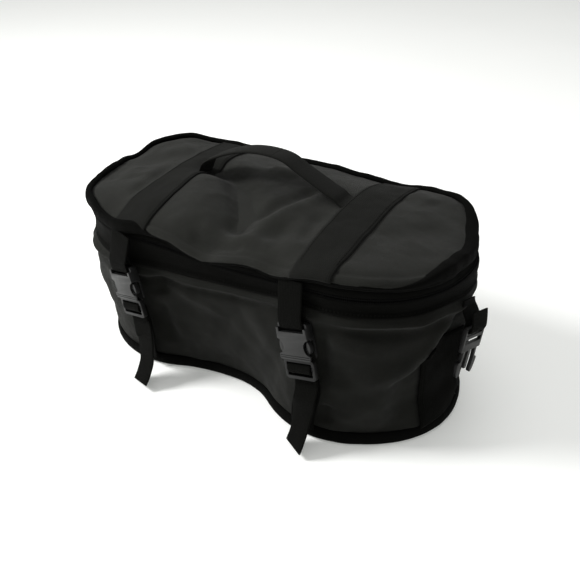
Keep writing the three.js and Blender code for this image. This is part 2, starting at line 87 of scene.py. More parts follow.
# Points along each half of the middle arcs, and round each lobe.
ARC_N, LOBE_N = 34, 120


def half_outline(plan, label, side):
    """The middle front arc, the lobe and the middle back arc, from front to back."""
    lx, ly, r = abs(plan[label][0]), *plan[label][1:]

    def middle(crossing, sign):
        rise = ly - crossing
        slack = r - rise if sign < 0 else crossing - ly - r
        arc_r = (lx * lx + rise * rise - r * r) / (2 * slack)
        cy = crossing - arc_r
        away = np.array([lx, ly - cy]) / hypot(lx, ly - cy)
        return arc_r, cy, np.array([lx, ly]) + sign * r * away

    fr, fc, ft = middle(plan["front"], -1)
    br, bc, bt = middle(plan["back"], 1)
    a0 = atan2(ft[1] - ly, ft[0] - lx)
    a1 = atan2(bt[1] - ly, bt[0] - lx)
    xs = ft[0] * np.arange(ARC_N) / ARC_N
    one = np.c_[xs, fc + np.sqrt(fr * fr - xs * xs)]
    t = a0 + (a1 - a0) * np.arange(LOBE_N) / LOBE_N
    two = np.c_[lx + r * np.cos(t), ly + r * np.sin(t)]
    xs = bt[0] * (1 - np.arange(ARC_N) / ARC_N)
    three = np.c_[xs, bc + np.sqrt(br * br - xs * xs)]
    return np.r_[one, two, three, [[0.0, plan["back"]]]] * [side, 1]


def outline(plan):
    """The closed outline, anticlockwise from the middle of the front."""
    left = half_outline(plan, "left", -1)
    return np.r_[half_outline(plan, "right", 1), left[1:-1][::-1]]


LID_RING, BASE_RING = outline(LID), outline(BASE)
COUNT = len(LID_RING)


def outward(points):
    """Unit normals of a closed outline, pointing out."""
    d = np.roll(points, -1, 0) - np.roll(points, 1, 0)
    return unit(np.c_[d[:, 1], -d[:, 0]])


def run_of(points):
    """Distance along a line at each of its points."""
    return np.r_[0, np.cumsum(np.linalg.norm(np.diff(points, axis=0), axis=1))]


def at(s, run, points):
    """The point at distance s along a line."""
    return np.stack([np.interp(s, run, points[:, k]) for k in range(points.shape[1])], -1)


def unit(v):
    return v / np.linalg.norm(v, axis=-1, keepdims=True)


def smooth(v):
    """0 below 0, 1 above 1 and an even slope between."""
    t = np.clip(v, 0, 1)
    return t * t * (3 - 2 * t)


def bell(x, y, reach):
    """1 at the middle, fading over reach."""
    return np.exp(-(x**2 + y**2) / reach**2)


def droop(x, y, z):
    """How far the front of the lid sags in the middle."""
    return SAG * np.exp(-((x / SAG_HALF) ** 2)) * smooth(0.5 - y / 80) * smooth((z - 60) / 100)


def ring(z, off):
    """The outside at height z moved outwards by off; both may differ round the ring."""
    z = np.broadcast_to(np.asarray(z, float), (COUNT,))
    t = np.clip(z / LID_Z, 0, 1)[:, None]
    swell = np.where(z < SEAM_Z, BULGE * np.sin(np.pi * np.clip(z, 0, SEAM_Z) / SEAM_Z), 0)
    flat = BASE_RING * (1 - t) + LID_RING * t
    out, up = edge_wave(*flat.T, z)
    out = out + side_bulge(*flat.T, z) + base_pinch(*flat.T, z)
    q = flat + outward(flat) * (off + swell + out).reshape(-1, 1)
    return np.c_[q, z + up - droop(*q.T, z)]


# x, y, reach, out, up: where the lid's edge slumps, bulges or lifts.
EDGE_KINKS = (
    (-14, -90, 22, 0.5, -8.0), (-113, -90, 28, 0.0, -8.0), (60, -90, 20, 0.0, -3.5),
    (124, -90, 38, 0.0, 4.0), (-190, -5, 44, -8.5, -1.0), (-184, -44, 30, -5.0, 0.0),
    (-158, 74, 38, 1.0, 8.0), (-184, 30, 14, -2.0, -3.0), (-92, 94, 26, 0.0, 3.0),
    (78, 94, 40, 0.0, -3.5), (152, 74, 40, 0.5, 7.0), (186, 20, 40, -3.0, -1.5),
)


def edge_rise(x, y):
    """How far the lid's edge stands above its even height, with no ripples."""
    return sum(up * bell(x - a, y - b, reach) for a, b, reach, _, up in EDGE_KINKS)


# x, y, reach, out, low and high: where the side hangs out below the lid's edge, and between which heights.
SIDE_BULGES = (
    (-180, -52, 44, 2.0, 100, 134), (-180, -52, 44, 6.0, 50, 114), (190, 30, 36, 5.0, 112, 148),
)


def base_pinch(x, y, z):
    """The foot is drawn in at the front of the right end."""
    return -3.5 * smooth((70 - z) / 70) * bell(x - 150, y + 84, 44)


def side_bulge(x, y, z):
    """How far the loose upper side hangs out at the ends."""
    return sum(
        out * bell(x - a, y - b, reach) * smooth((z - low) / 16) * smooth((high - z) / 10)
        for a, b, reach, out, low, high in SIDE_BULGES
    )


def edge_wave(x, y, z):
    """Uneven outward and upward wander near the lid's edge: (out, up) in millimetres."""
    fade = smooth((z - 141) / 12)
    out = sum(o * bell(x - a, y - b, reach) for a, b, reach, o, _ in EDGE_KINKS)
    out = out + 2.3 * wobble(x, y, 0.0, 27, 4.1) + 0.8 * wobble(x, y, 0.0, 12, 8.3)
    up = edge_rise(x, y) + 1.7 * wobble(x, y, 5.0, 30, 2.2) + 0.7 * wobble(x, y, 5.0, 13, 6.4)
    return out * fade, up * fade


def seam_drop(x, y):
    """How far the seam under the zip band hangs below its mean height, round the bag."""
    front = smooth(-y / 40)
    sides = 8.0 * smooth((20 - x) / 110) - 4.5 * smooth((x - 10) / 60)
    return front * (sides + 1.3 * wobble(x, y, 1.0, 40, 9.9))


def arc_length(points):
    """Distance along a closed ring at each of its points, and the whole way round."""
    d = np.linalg.norm(np.roll(points, -1, 0) - points, axis=1)
    return np.r_[0, np.cumsum(d)[:-1]], d.sum()


ROUND = arc_length(LID_RING)[0]


def surface_y(x, z, off, side=-1):
    """The outside's y at x and z: the front for side -1, the back for side 1."""
    p = ring(z, off)
    q = np.roll(p, -1, 0)
    hit = ((p[:, 0] - x) * (q[:, 0] - x) <= 0) & (p[:, 0] != q[:, 0]) & (p[:, 1] * side > 0)
    i = int(np.argmax(hit))
    return p[i, 1] + (q[i, 1] - p[i, 1]) * (x - p[i, 0]) / (q[i, 0] - p[i, 0])


def lobe_point(label, angle, z, off):
    """A point on an end wall, by its angle round the lobe."""
    t = z / LID_Z
    swell = BULGE * sin(pi * z / SEAM_Z) if z < SEAM_Z else 0
    x, y, r = (np.array(BASE[label]) * (1 - t) + np.array(LID[label]) * t).tolist()
    turn = radians(angle if label == "right" else 180 - angle)
    r += swell + off
    return np.array([x + r * cos(turn), y + r * sin(turn), z])


LID_ANGLES = np.unwrap(np.arctan2(LID_RING[:, 1], LID_RING[:, 0]))
LID_REACH = np.linalg.norm(LID_RING, axis=1)


def lid_share(x, y):
    """0 at the lid's middle, 1 at its edge."""
    a = np.arctan2(y, x)
    a = np.where(a < LID_ANGLES[0], a + 2 * np.pi, a)
    reach = np.interp(a, np.r_[LID_ANGLES, LID_ANGLES[0] + 2 * np.pi], np.r_[LID_REACH, LID_REACH[0]])
    return np.minimum(np.hypot(x, y) / reach, 1)


def fold(x, y, x0, y0, x1, y1, width, depth):
    """A soft valley (or ridge) along a line, fading at its ends."""
    dx, dy = x1 - x0, y1 - y0
    length = hypot(dx, dy)
    along = ((x - x0) * dx + (y - y0) * dy) / length
    off = ((x - x0) * dy - (y - y0) * dx) / length
    ends = smooth(along / (0.3 * length)) * smooth((length - along) / (0.3 * length))
    return depth * np.exp(-((off / width) ** 2)) * ends


def crease(x, y, points, width, depth):
    """A soft valley (or ridge) along a bent line."""
    near = np.full(np.broadcast(x, y).shape, 1e9)
    for (ax, ay), (bx, by) in zip(points[:-1], points[1:]):
        dx, dy = bx - ax, by - ay
        t = np.clip(((x - ax) * dx + (y - ay) * dy) / (dx * dx + dy * dy), 0, 1)
        near = np.minimum(near, (x - ax - t * dx) ** 2 + (y - ay - t * dy) ** 2)
    return depth * np.exp(-near / width**2)


def wobble(x, y, z, scale, seed):
    """Smooth noise, -1 to 1."""
    pts = np.broadcast_arrays(x, y, z)
    flat = np.stack([p.ravel() for p in pts], 1) / scale + seed
    return np.array([noise.noise(Vector(p)) for p in flat]).reshape(pts[0].shape)


# x, y of one end, x, y of the other, width, height: folds and dents in the cloth of the lid.
LID_FOLDS = (
    (60, -14, 66, -66, 7, -3.0), (10, 40, -30, 46, 9, 3.5), (-117, 10, -114, -70, 6, -2.6),
    (-128, 16, -124, -60, 9, 2.0), (120, 50, 150, -40, 16, 3.0), (112, -36, 168, 24, 14, -3.2),
    (108, 66, 140, 50, 12, 3.4), (-150, 40, -130, -50, 14, -2.6), (-178, 24, -160, -62, 13, -4.0),
    (-152, 0, -132, -30, 14, 2.5), (-124, 62, -150, 20, 12, 3.0),
)
# points, width, height: the long bent folds in the middle of the lid.
LID_CREASES = (
    (((-72, 18), (-44, 6), (-20, -16), (-2, -40), (4, -58)), 14, -9.5),
    (((-60, -16), (-38, -66)), 24, 6.5),
    (((12, -72), (24, -46), (48, 6)), 12, 4.2),
    (((14, -34), (34, 10)), 8, -5.5),
    (((40, -60), (42, -54)), 12, -3.5),
    (((-20, -74), (36, -72)), 8, 2.5),
    (((-26, -84), (14, -84)), 5, -6.0),
)


def lid_top(x, y, fine=True):
    """Height of the lid's top, with its dents when fine."""
    share = lid_share(x, y)
    z = LID_Z + CROWN * (1 - share**2.2) - droop(x, y, LID_Z) * (0.4 + 0.6 * share)
    z = z + edge_rise(x, y) * smooth((share - 0.5) / 0.5)
    if fine:
        fade = smooth((1 - share) / 0.14)
        bumps = sum(fold(x, y, *f) for f in LID_FOLDS) + sum(crease(x, y, *c) for c in LID_CREASES)
        z = z + fade * bumps
    return z


# ---- mesh helpers ----
def new_mesh(name, verts, faces, uvs, mat):
    """A mesh from points, with one pair in uvs for each, all in millimetres."""
    me = bpy.data.meshes.new(name)
    verts = np.reshape(verts, (-1, 3)) * MM
    me.from_pydata(verts.tolist(), [], [tuple(int(i) for i in f) for f in faces])
    me.validate()
    layer = me.uv_layers.new(name="UVMap")
    loops = np.zeros(len(me.loops), int)
    me.loops.foreach_get("vertex_index", loops)
    layer.data.foreach_set("uv", (np.reshape(uvs, (-1, 2))[loops] * MM).ravel())
    me.update()
    me.materials.append(mat)
    me.polygons.foreach_set("use_smooth", [True] * len(me.polygons))
    return in_scene(name, me)


def face_out(obj):
    """Turns a closed mesh's faces outwards."""
    bm = bmesh.new()
    bm.from_mesh(obj.data)
    bmesh.ops.recalc_face_normals(bm, faces=bm.faces)
    bm.to_mesh(obj.data)
    bm.free()
    return obj


def quads(rows, cols, wrap_rows=False, wrap_cols=False):
    """Faces of a grid of rows by cols points."""
    out = []
    for i in range(rows if wrap_rows else rows - 1):
        for j in range(cols if wrap_cols else cols - 1):
            k, m = (i + 1) % rows, (j + 1) % cols
            out.append((i * cols + j, i * cols + m, k * cols + m, k * cols + j))
    return out


def hoop(name, rings, mat):
    """Rings joined one after the other; the last meets the first."""
    pts = np.array(rings)
    rows, cols = pts.shape[:2]
    step = run_of(pts[:, 0])
    uv = np.stack([np.broadcast_to(v, (rows, cols)) for v in (ROUND, step[:, None])], -1)
    return face_out(new_mesh(name, pts, quads(rows, cols, True, True), uv, mat))


def disc(name, rings, mat, middle_low, middle_high):
    """Rings from the middle of one side, over the edge, to the middle of the other."""
    pts = np.array(rings)
    rows, cols = pts.shape[:2]
    verts = np.r_[pts.reshape(-1, 3), [middle_low, middle_high]]
    faces = quads(rows, cols, False, True)
    n = rows * cols
    last = (rows - 1) * cols
    for j in range(cols):
        k = (j + 1) % cols
        faces += [(n, k, j), (n + 1, last + j, last + k)]
    return face_out(new_mesh(name, verts, faces, verts[:, :2], mat))


SPAN_STEPS = 24


def catmull(points, steps):
    """A smooth line through points, evenly spaced, with steps + 1 samples."""
    p = np.array(points, float)
    p = np.r_[[2 * p[0] - p[1]], p, [2 * p[-1] - p[-2]]]
    out = []
    for i in range(1, len(p) - 2):
        d = [np.linalg.norm(p[i + k] - p[i + k - 1]) ** 0.5 for k in (0, 1, 2)]
        t = [0, d[0], d[0] + d[1], sum(d)]
        for s in np.linspace(t[1], t[2], SPAN_STEPS, endpoint=False):
            a = [(t[k + 1] - s) / d[k] * p[i - 1 + k] + (s - t[k]) / d[k] * p[i + k] for k in (0, 1, 2)]
            w = [t[k + 2] - t[k] for k in (0, 1)]
            b = [(t[k + 2] - s) / w[k] * a[k] + (s - t[k]) / w[k] * a[k + 1] for k in (0, 1)]
            out.append((t[2] - s) / d[1] * b[0] + (s - t[1]) / d[1] * b[1])
    out.append(p[-2])
    out = np.array(out)
    run = run_of(out)
    return at(np.linspace(0, run[-1], steps + 1), run, out), run[-1]


# One round of a strap's section: shares of its width and of its thickness.
STRAP_SECTION = (
    (-0.5, 0.0), (-0.485, 0.34), (-0.44, 0.5), (-0.22, 0.5), (0, 0.5), (0.22, 0.5), (0.44, 0.5),
    (0.485, 0.34), (0.5, 0.0), (0.485, -0.34), (0.44, -0.5), (0, -0.5), (-0.44, -0.5), (-0.485, -0.34),
)


def ribbon(name, line, wides, width, thick, mat, length, cup=0.0):
    """Webbing along a line: wides is its width's direction at each point."""
    tang = unit(np.gradient(line, axis=0))
    wides = unit(wides - (wides * tang).sum(1)[:, None] * tang)
    face = np.cross(tang, wides)
    n, m = len(line), len(STRAP_SECTION)
    across, through = np.array(STRAP_SECTION).T[:, None, :, None]
    pts = line[:, None] + across * width * wides[:, None]
    pts = pts + (through * thick + cup * (across * 2) ** 2) * face[:, None]
    u = np.broadcast_to(across[..., 0] * width, (n, m))
    v = np.broadcast_to(np.linspace(0, length, n)[:, None], (n, m))
    faces = quads(n, m, False, True) + [tuple(range(m))[::-1], tuple((n - 1) * m + k for k in range(m))]
    return face_out(new_mesh(name, pts, faces, np.stack([u, v], -1), mat))


def slab(name, grid, uv, thick, mat, up):
    """A thin sheet over a grid of inner points, rounded at its edges, on the side of up."""
    rows, cols = grid.shape[:2]
    n = unit(np.cross(np.gradient(grid, axis=0), np.gradient(grid, axis=1)))
    n *= np.sign((n * up).sum(-1))[..., None]
    edge = np.zeros((rows, cols))
    edge[[0, -1], :] = 1
    edge[:, [0, -1]] = 1
    top = grid + n * (thick * (1 - 0.45 * edge))[..., None]
    k = rows * cols
    faces = [f[::-1] for f in quads(rows, cols)] + [tuple(i + k for i in f) for f in quads(rows, cols)]
    ids = np.arange(k).reshape(rows, cols)
    rim = [*ids[0], *ids[1:, -1], *ids[-1, -2::-1], *ids[-2:0:-1, 0]]
    faces += [(a, b, b + k, a + k) for a, b in zip(rim, rim[1:] + rim[:1])]
    return face_out(new_mesh(name, np.r_[grid, top], faces, np.r_[uv, uv], mat))


HEX = [k * pi / 3 for k in range(6)]


def bead(verts, faces, rings):
    """Adds a six-sided bead through rings of six points, closed at both ends."""
    base = len(verts)
    last = base + 6 * (len(rings) - 1)
    for points in rings:
        verts.extend(points)
    for i in range(base, last, 6):
        faces += [(i + a, i + (a + 1) % 6, i + 6 + (a + 1) % 6, i + 6 + a) for a in range(6)]
    faces += [tuple(base + a for a in range(6))[::-1], tuple(last + a for a in range(6))]


def stitches(name, lines, pitch=3.2, length=2.2, radius=0.32):
    """Rows of thread: each line is points on the cloth with the direction that faces out."""
    verts, faces = [], []
    for pts, normals in lines:
        run = run_of(pts)
        for s in np.arange(pitch / 2, run[-1] - pitch / 2, pitch):
            near, far = at(s - length / 2, run, pts), at(s + length / 2, run, pts)
            out, along = unit(at(s, run, normals)), unit(far - near)
            side = np.cross(along, out)
            mid = (near + far) / 2
            # centre, thickness and lift off the cloth, from end to end of the stitch
            spans = ((near, 0.45, -0.25), (mid - along * 0.5, 1, 0.12),
                     (mid + along * 0.5, 1, 0.12), (far, 0.45, -0.25))
            bead(verts, faces, [
                [q + (out * (sin(t) + lift) + side * cos(t)) * radius * r for t in HEX]
                for q, r, lift in spans
            ])
    return new_mesh(name, verts, faces, np.array(verts)[:, :2], THREAD)


# ---- materials ----
class Graph:
    """A new material's shader nodes, with short ways to add to them."""

    def __init__(self, name):
        self.mat = bpy.data.materials.new(name)
        self.mat.use_nodes = True
        self.tree = self.mat.node_tree

    def fill(self, node, inputs):
        """Sets or links each input."""
        for key, value in inputs.items():
            if isinstance(value, bpy.types.NodeSocket):
                self.tree.links.new(value, node.inputs[key])
            else:
                node.inputs[key].default_value = value

    def new(self, kind, **inputs):
        node = self.tree.nodes.new("ShaderNode" + kind)
        self.fill(node, inputs)
        return node

    def surface(self, **inputs):
        """Sets or links the surface's inputs; an underscore stands for a space in a name."""
        named = {key.replace("_", " "): value for key, value in inputs.items()}
        self.fill(self.tree.nodes["Principled BSDF"], named)

    def op(self, name, *values):
        node = self.new("Math")
        node.operation = name
        self.fill(node, dict(enumerate(values)))
        return node.outputs[0]

    def mul(self, a, b):
        return self.op("MULTIPLY", a, b)

    def add(self, a, b):
        return self.op("ADD", a, b)

    def noise(self, coord, scale, detail=4.0, rough=0.55):
        return self.new("TexNoise", Scale=scale, Detail=detail, Roughness=rough, Vector=coord).outputs["Fac"]

    def ramp(self, fac, stops):
        """Each stop is a place and a colour, or one tone for all three channels."""
        node = self.new("ValToRGB", Fac=fac)
        while len(node.color_ramp.elements) < len(stops):
            node.color_ramp.elements.new(0.5)
        for element, (place, colour) in zip(node.color_ramp.elements, stops):
            element.position = place
            element.color = (*np.broadcast_to(colour, 3), 1)
        return node.outputs["Color"]

    def bump(self, height, strength, distance):
        node = self.new("Bump", Strength=strength, Distance=distance, Height=height)
        self.surface(Normal=node.outputs["Normal"])


def grey(v):
    """A near-black tone with the cloth's slight warm green."""
    return (v, v * 1.03, v * 0.86)


def woven(name, base, pitch=0.62, rib=0.0, depth=0.00016, spread=0.22, sheen=0.25, spec=0.16):
    """Cloth with over-and-under yarns of that pitch in millimetres; a rib above 0 makes webbing's ribs."""
    g = Graph(name)
    uv = g.new("UVMap")
    uv.uv_map = "UVMap"
    place = g.new("TexCoord").outputs["Object"]
    axes = g.new("SeparateXYZ", Vector=uv.outputs["UV"])
    warp = g.noise(uv.outputs["UV"], 260, 2)
    shift = g.mul(g.op("SUBTRACT", warp, 0.5), pitch * MM * 0.5)
    k = pi / (pitch * MM)
    across = g.op("SINE", g.mul(g.add(axes.outputs[0], shift), k))
    along = g.op("SINE", g.mul(g.add(axes.outputs[1], shift), k * (0.55 if rib else 1.0)))
    over = g.op("GREATER_THAN", g.mul(across, along), 0.0)
    across, along = g.op("ABSOLUTE", across), g.op("ABSOLUTE", along)
    yarn = g.add(g.mul(across, over), g.mul(along, g.op("SUBTRACT", 1.0, over)))
    if rib:
        ribs = g.op("ABSOLUTE", g.op("SINE", g.mul(axes.outputs[0], pi / (rib * MM))))
        yarn = g.add(g.mul(yarn, 0.6), g.mul(ribs, 0.8))
    fuzz = g.noise(place, 2600, 3, 0.7)
    g.bump(g.add(yarn, g.mul(fuzz, 0.7)), 0.75, depth)
    blotch = g.noise(place, 38, 5, 0.6)
    speck = g.noise(place, 820, 2, 0.8)
    tone = g.add(g.mul(blotch, 0.55), g.mul(speck, 0.5))
    # Painted shade in the weave: the colour is lighter on the yarn crests and ribs and darker in the gaps
    # between them.
    tone = g.add(tone, g.mul(g.op("SUBTRACT", yarn, 0.6), 0.25))
    dark, light = base * (1 - spread) * 0.8, base * (1 + spread) * 1.25
    g.surface(
        Base_Color=g.ramp(tone, [(0.25, grey(dark)), (0.5, grey(base)), (0.82, grey(light))]),
        Roughness=g.ramp(blotch, [(0.3, 0.86), (0.7, 0.98)]),
        Sheen_Weight=sheen,
        Sheen_Roughness=0.45,
        Specular_IOR_Level=spec,
    )
    return g.mat


def moulded(name, base, rough=0.36, shine=1.0):
    """Moulded plastic with a fine grain and faint scuffs."""
    g = Graph(name)
    place = g.new("TexCoord").outputs["Object"]
    grain = g.noise(place, 1500, 3, 0.6)
    blotch = g.noise(place, 70, 4, 0.6)
    streak = g.new("Mapping", Scale=(1, 1, 0.08), Vector=place)
    scuff = g.noise(streak.outputs[0], 900, 4, 0.75)
    mix = g.add(g.mul(blotch, 0.5), g.mul(scuff, 0.5))
    g.bump(grain, 0.35, 0.00005)
    g.surface(
        Base_Color=g.ramp(blotch, [(0.3, base * 0.8), (0.7, base * 1.2)]),
        Roughness=g.ramp(mix, [(0.3, rough - 0.07), (0.7, rough + 0.1)]),
        Specular_IOR_Level=0.5 * shine,
        Coat_Weight=0.12 * shine,
    )
    return g.mat


BODY_CLOTH = woven("body_cloth", 0.0075, sheen=0.04, spec=0.12)
LID_CLOTH = woven("lid_cloth", 0.0105, sheen=0.06)
TAPE = woven("binding_tape", 0.0016, pitch=0.5, spread=0.15, sheen=0.006, spec=0.04)
BAND_CLOTH = woven("band_cloth", 0.0022, pitch=0.55, spread=0.15, sheen=0.01, spec=0.04)
RIBBED = {"pitch": 0.9, "rib": 1.7, "depth": 0.00028, "spread": 0.18}
# One webbing in two copies: the copy for the upright straps and end webs is darker as painted shade, and the
# copy for the upward-facing lid bands and handle is lighter as painted light.
WEBBING_SHADED = woven("webbing", 0.0022, **RIBBED, sheen=0.006, spec=0.04)
BAND_WEB_LIT = woven("band_webbing_painted_lit", 0.0048, **RIBBED, sheen=0.02, spec=0.1)
LINING = woven("lining", 0.075, pitch=0.4, sheen=0.1)
THREAD = woven("thread", 0.0045, pitch=0.3, depth=0.0001, sheen=0.01, spec=0.05)
PLASTIC = moulded("buckle_plastic", 0.004, 0.42, 0.7)
FRAME_PLASTIC = moulded("frame_plastic", 0.004, 0.44, 0.42)
COIL = moulded("zip_coil", 0.0015, 0.7, 0.1)
METAL = moulded("pull_metal", 0.03, 0.35)


def done(obj, body, slot, *nodes):
    """The piece moves with that body and stands for those CAD nodes. The slot is not used."""
    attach(obj, body)
    if nodes:
        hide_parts(*nodes)
    return obj


# ---- main wall ----
# x, z of one end, x, z of the other, width, height: creases on the front of the wall.
SIDE_FOLDS = (
    (44, 118, 118, 60, 9, -2.6), (70, 120, 150, 92, 7, 2.4), (96, 106, 176, 118, 7, -2.6),
    (112, 52, 176, 84, 8, 2.6), (104, 84, 160, 40, 9, -2.4), (120, 20, 160, 60, 9, 2.0),
    (40, 40, 84, 88, 11, -2.2), (20, 100, 64, 56, 12, 2.2), (-72, 108, -66, 84, 9, -6.0),
    (-72, 84, -62, 26, 7, -3.5), (104, 118, 108, 50, 6, -4.5), (110, 40, 112, 16, 7, -4.0),
    (-84, 112, -14, 88, 6, -3.6), (-64, 104, 4, 76, 7, 3.4), (-60, 86, 16, 62, 9, -2.0),
    (-50, 30, 20, 58, 12, 2.2), (-86, 70, -48, 20, 9, -2.4), (-168, 106, -120, 60, 10, -2.2),
    (-150, 40, -110, 84, 10, 2.0),
)
# The fold across the right end: degrees round the lobe, and the fold's height there.
TUCK = ((-60, -47, -38, -31, -18, -3, 20, 60), (64, 70, 77, 84, 101, 113, 118, 118))


def tuck(x, y, z):
    """The right end's wall falls in below a slanting fold and bulges above it."""
    t = z / LID_Z
    cx, cy = (low * (1 - t) + high * t for low, high in zip(BASE["right"][:2], LID["right"]))
    a = np.degrees(np.arctan2(y - cy, x - cx))
    height = np.interp(a, *TUCK)
    here = smooth((a + 56) / 16) * smooth((10 - a) / 24) * (x > 90)
    sunk = -8.5 * smooth((height - z) / 8) * smooth((z - 8) / 34)
    return here * (sunk + 2.8 * np.exp(-(((z - height - 6) / 8) ** 2)))


def seam_height(x, y):
    """Height of the seam between the wall and the zip band."""
    return SEAM_Z - seam_drop(x, y)


def wall_puff(x, y, z):
    """How far the wall's cloth stands out from its smooth shape."""
    top = seam_height(x, y)
    fade = smooth(z / 14) * smooth((top - z) / 7)
    front = smooth(-y / 30)
    folds = sum(fold(x, z, *f) for f in SIDE_FOLDS) * front
    soft = 2.2 * wobble(x, y, z, 50, 3.1) + 1.2 * wobble(x, y, z, 21, 7.7) + 0.5 * wobble(x, y, z, 9, 1.7)
    behind = 2.0 * wobble(x, y, z * 2.2, 56, 12.3) * (1 - front)
    pleat = 3.6 * np.exp(-(((top - 6 - z) / 4.0) ** 2)) - 2.4 * np.exp(-(((top - 16 - z) / 5.0) ** 2))
    pleat = pleat * (1 + 0.8 * wobble(x, y, 3.0, 33, 5.1))
    return fade * (folds + soft + behind + pleat + tuck(x, y, z))


def wall_ring(level, off):
    """The wall's ring at a share of its height, 0 at the foot and 1 at the seam."""
    x, y, _ = ring(level * SEAM_Z, 0).T
    z = 3.4 + level * (seam_height(x, y) - 3.6)
    x, y, _ = ring(z, 0).T
    return ring(z, off + wall_puff(x, y, z) * (1 if off == 0 else 0.7))


WALL = 4.0
wall_levels = np.r_[0, np.linspace(0.02, 0.95, 66), 0.97, 0.985, 1]
outer = [wall_ring(v, 0) for v in wall_levels]
inner = [wall_ring(v, -WALL) for v in wall_levels[::-3]]
wall = hoop("wall_panel", outer + inner, BODY_CLOTH)
done(wall, "bag", "body_fabric", "main_wall")

DISC_SHARES = np.linspace(0.12, 0.98, 7)


def flat_disc(name, z0, z1, out, mat):
    """A flat plate with the bag's outline, moved outwards by out."""
    def level(edge, share, z):
        return np.c_[ring(edge, out)[:, :2] * share, np.full(COUNT, z)]

    low = [level(z0, s, z0) for s in DISC_SHARES] + [level(z0, 1, z0 + 0.5)]
    high = [level(z1, 1, z1 - 0.5)] + [level(z1, s, z1) for s in DISC_SHARES[::-1]]
    return disc(name, low + high, mat, (0, 0, z0), (0, 0, z1))


done(flat_disc("base_cloth", 0.0, 3.0, -0.5, BODY_CLOTH), "bag", "body_fabric", "base_panel")
done(flat_disc("base_stiffener", 3.3, 5.8, -7.2, LINING), "bag", "board", "base_board")


# ---- bindings: folded tape, slightly wavy ----
def wavy(amount, scale, seed):
    """Noise round the bag."""
    return amount * wobble(*LID_RING.T, 0.0, scale, seed)


def taped(name, section, ripple, seed):
    """A folded binding tape; each point of its section is (out, height), either may vary round the ring."""
    rows = []
    for off, z in section:
        sway = wavy(ripple, 16, seed) + wavy(ripple * 0.7, 7, seed + 5)
        rise = wavy(ripple, 21, seed + 9)
        p = ring(z, off + sway * smooth(off / 2.0))
        p[:, 2] += rise * smooth(off / 2.0)
        rows.append(p)
    return hoop(name, rows, TAPE)


BASE_TAPE = (
    (0.3, 0.6), (1.6, 0.5), (2.9, 1.2), (3.7, 2.8), (3.9, 5), (3.4, 8), (2.6, 10.2), (1.5, 11.6), (0.3, 12),
)
done(taped("base_binding_tape", BASE_TAPE, 0.35, 2.0), "bag", "tape", "base_binding")
lid_normals = outward(LID_RING)
# 1 where the lid's cloth rolls over its binding, at the front; 0 where the binding stands above it.
ROLL = smooth((-0.35 - lid_normals[:, 1]) / 0.5) * smooth((LID_RING[:, 0] + 96) / 34)
WIDE = smooth((lid_normals[:, 0] - 0.55) / 0.4) * (1 - ROLL)
# The binding's section, out and height, where the cloth rolls over it and elsewhere. The last
# number is how far each point moves in at the right end, where the tape lies wide on the lid.
LID_TAPE = (
    ((0.3, 155.2), (0.3, 157.6), 0), ((0.3, 153.4), (0.3, 154.4), 0), ((1.1, 152.5), (1.1, 153.3), 0),
    ((2.6, 152.2), (2.4, 153.2), 0), ((4.2, 152.6), (3.5, 154.4), 0), ((5.2, 153.6), (4.0, 157), 0),
    ((5.5, 154.6), (4.0, 160), 0), ((5.2, 155.4), (3.6, 162.6), 0), ((4.6, 155.7), (2.7, 164.4), 0),
    ((3.6, 155.7), (1.4, 165.0), 0), ((2.6, 155.6), (0.0, 164.9), 2.5), ((1.8, 155.5), (-1.6, 164.2), 5),
    ((1.0, 155.4), (-2.8, 162.6), 5), ((0.5, 155.3), (-1.4, 160.2), 0),
)


def turned(front, back, inward=0):
    """One point of an edge's section, all the way round: front where the cloth rolls over, else back."""
    off, z = (f * ROLL + b * (1 - ROLL) for f, b in zip(front, back))
    return off - inward * WIDE, z


done(taped("lid_binding_tape", [turned(*p) for p in LID_TAPE], 0.7, 4.0), "lid", "tape", "lid_binding")

# ---- zip band ----
def band_ring(share, off):
    """The lower zip band at a share of its height, 0 at the seam and 1 at the zip."""
    x, y, _ = ring(SEAM_Z, 0).T
    foot = seam_height(x, y) + 0.2
    ruck = 0.9 * wobble(x, y, share * 2, 26, 6.6) * smooth(share / 0.2) * smooth((1 - share) / 0.2)
    return ring(foot + share * (BAND_TOP - foot), off + (ruck if off > INSIDE else 0))


BAND_TOP, INSIDE = 140.9, -1.0
# Share of the band's height and out, from the seam up; then the lip behind the teeth.
LOW_BAND = (
    (0, -1.8), (0, 0.8), (0.04, 1.3), (0.1, 1.1), (0.14, 0.3), (0.2, -0.2), (0.34, -0.6), (0.5, -0.7),
    (0.66, -0.5), (0.8, -0.2), (0.93, 0.2), (0.98, 0.2), (1, -0.3),
)
low_lip = [ring(142.78, -0.6), ring(142.78, -1.8)]
low_band = hoop("zip_band_lower", [band_ring(v, o) for v, o in LOW_BAND] + low_lip, BAND_CLOTH)
done(low_band, "bag", "tape", "zip_tape_lower")
rows = []
for share in (0.17, 0.24):
    p = band_ring(share, 0.25)
    rows.append((p[::2], np.c_[outward(p[:, :2])[::2], np.zeros(len(p[::2]))]))
done(stitches("zip_band_seams", rows), "bag", "tape")
HIGH_BAND = (
    (-1.8, 142.82), (-0.6, 142.82), (-0.2, 144.6), (0.4, 145.0), (0.3, 146), (0.0, 147), (0, 149.1),
    (-1.8, 149.1),
)
high_band = hoop("zip_band_upper", [ring(z, o) for o, z in HIGH_BAND], BAND_CLOTH)
done(high_band, "lid", "tape", "zip_tape_upper")
LID_SIDE = ((-2, 149.2), (0, 149.2), (0.5, 150), (0.4, 152), (0.2, 155), (0, 157.3), (-2, 157.3))
done(hoop("lid_side", [ring(z, o) for o, z in LID_SIDE], BAND_CLOTH), "lid", "lid_fabric", "lid_boxing")

# Spacing of the coil's turns, how far out it lies, and a turn's height and radius.
COIL_PITCH, COIL_OUT, COIL_TALL, COIL_R = 1.7, 0.35, 1.9, 0.62


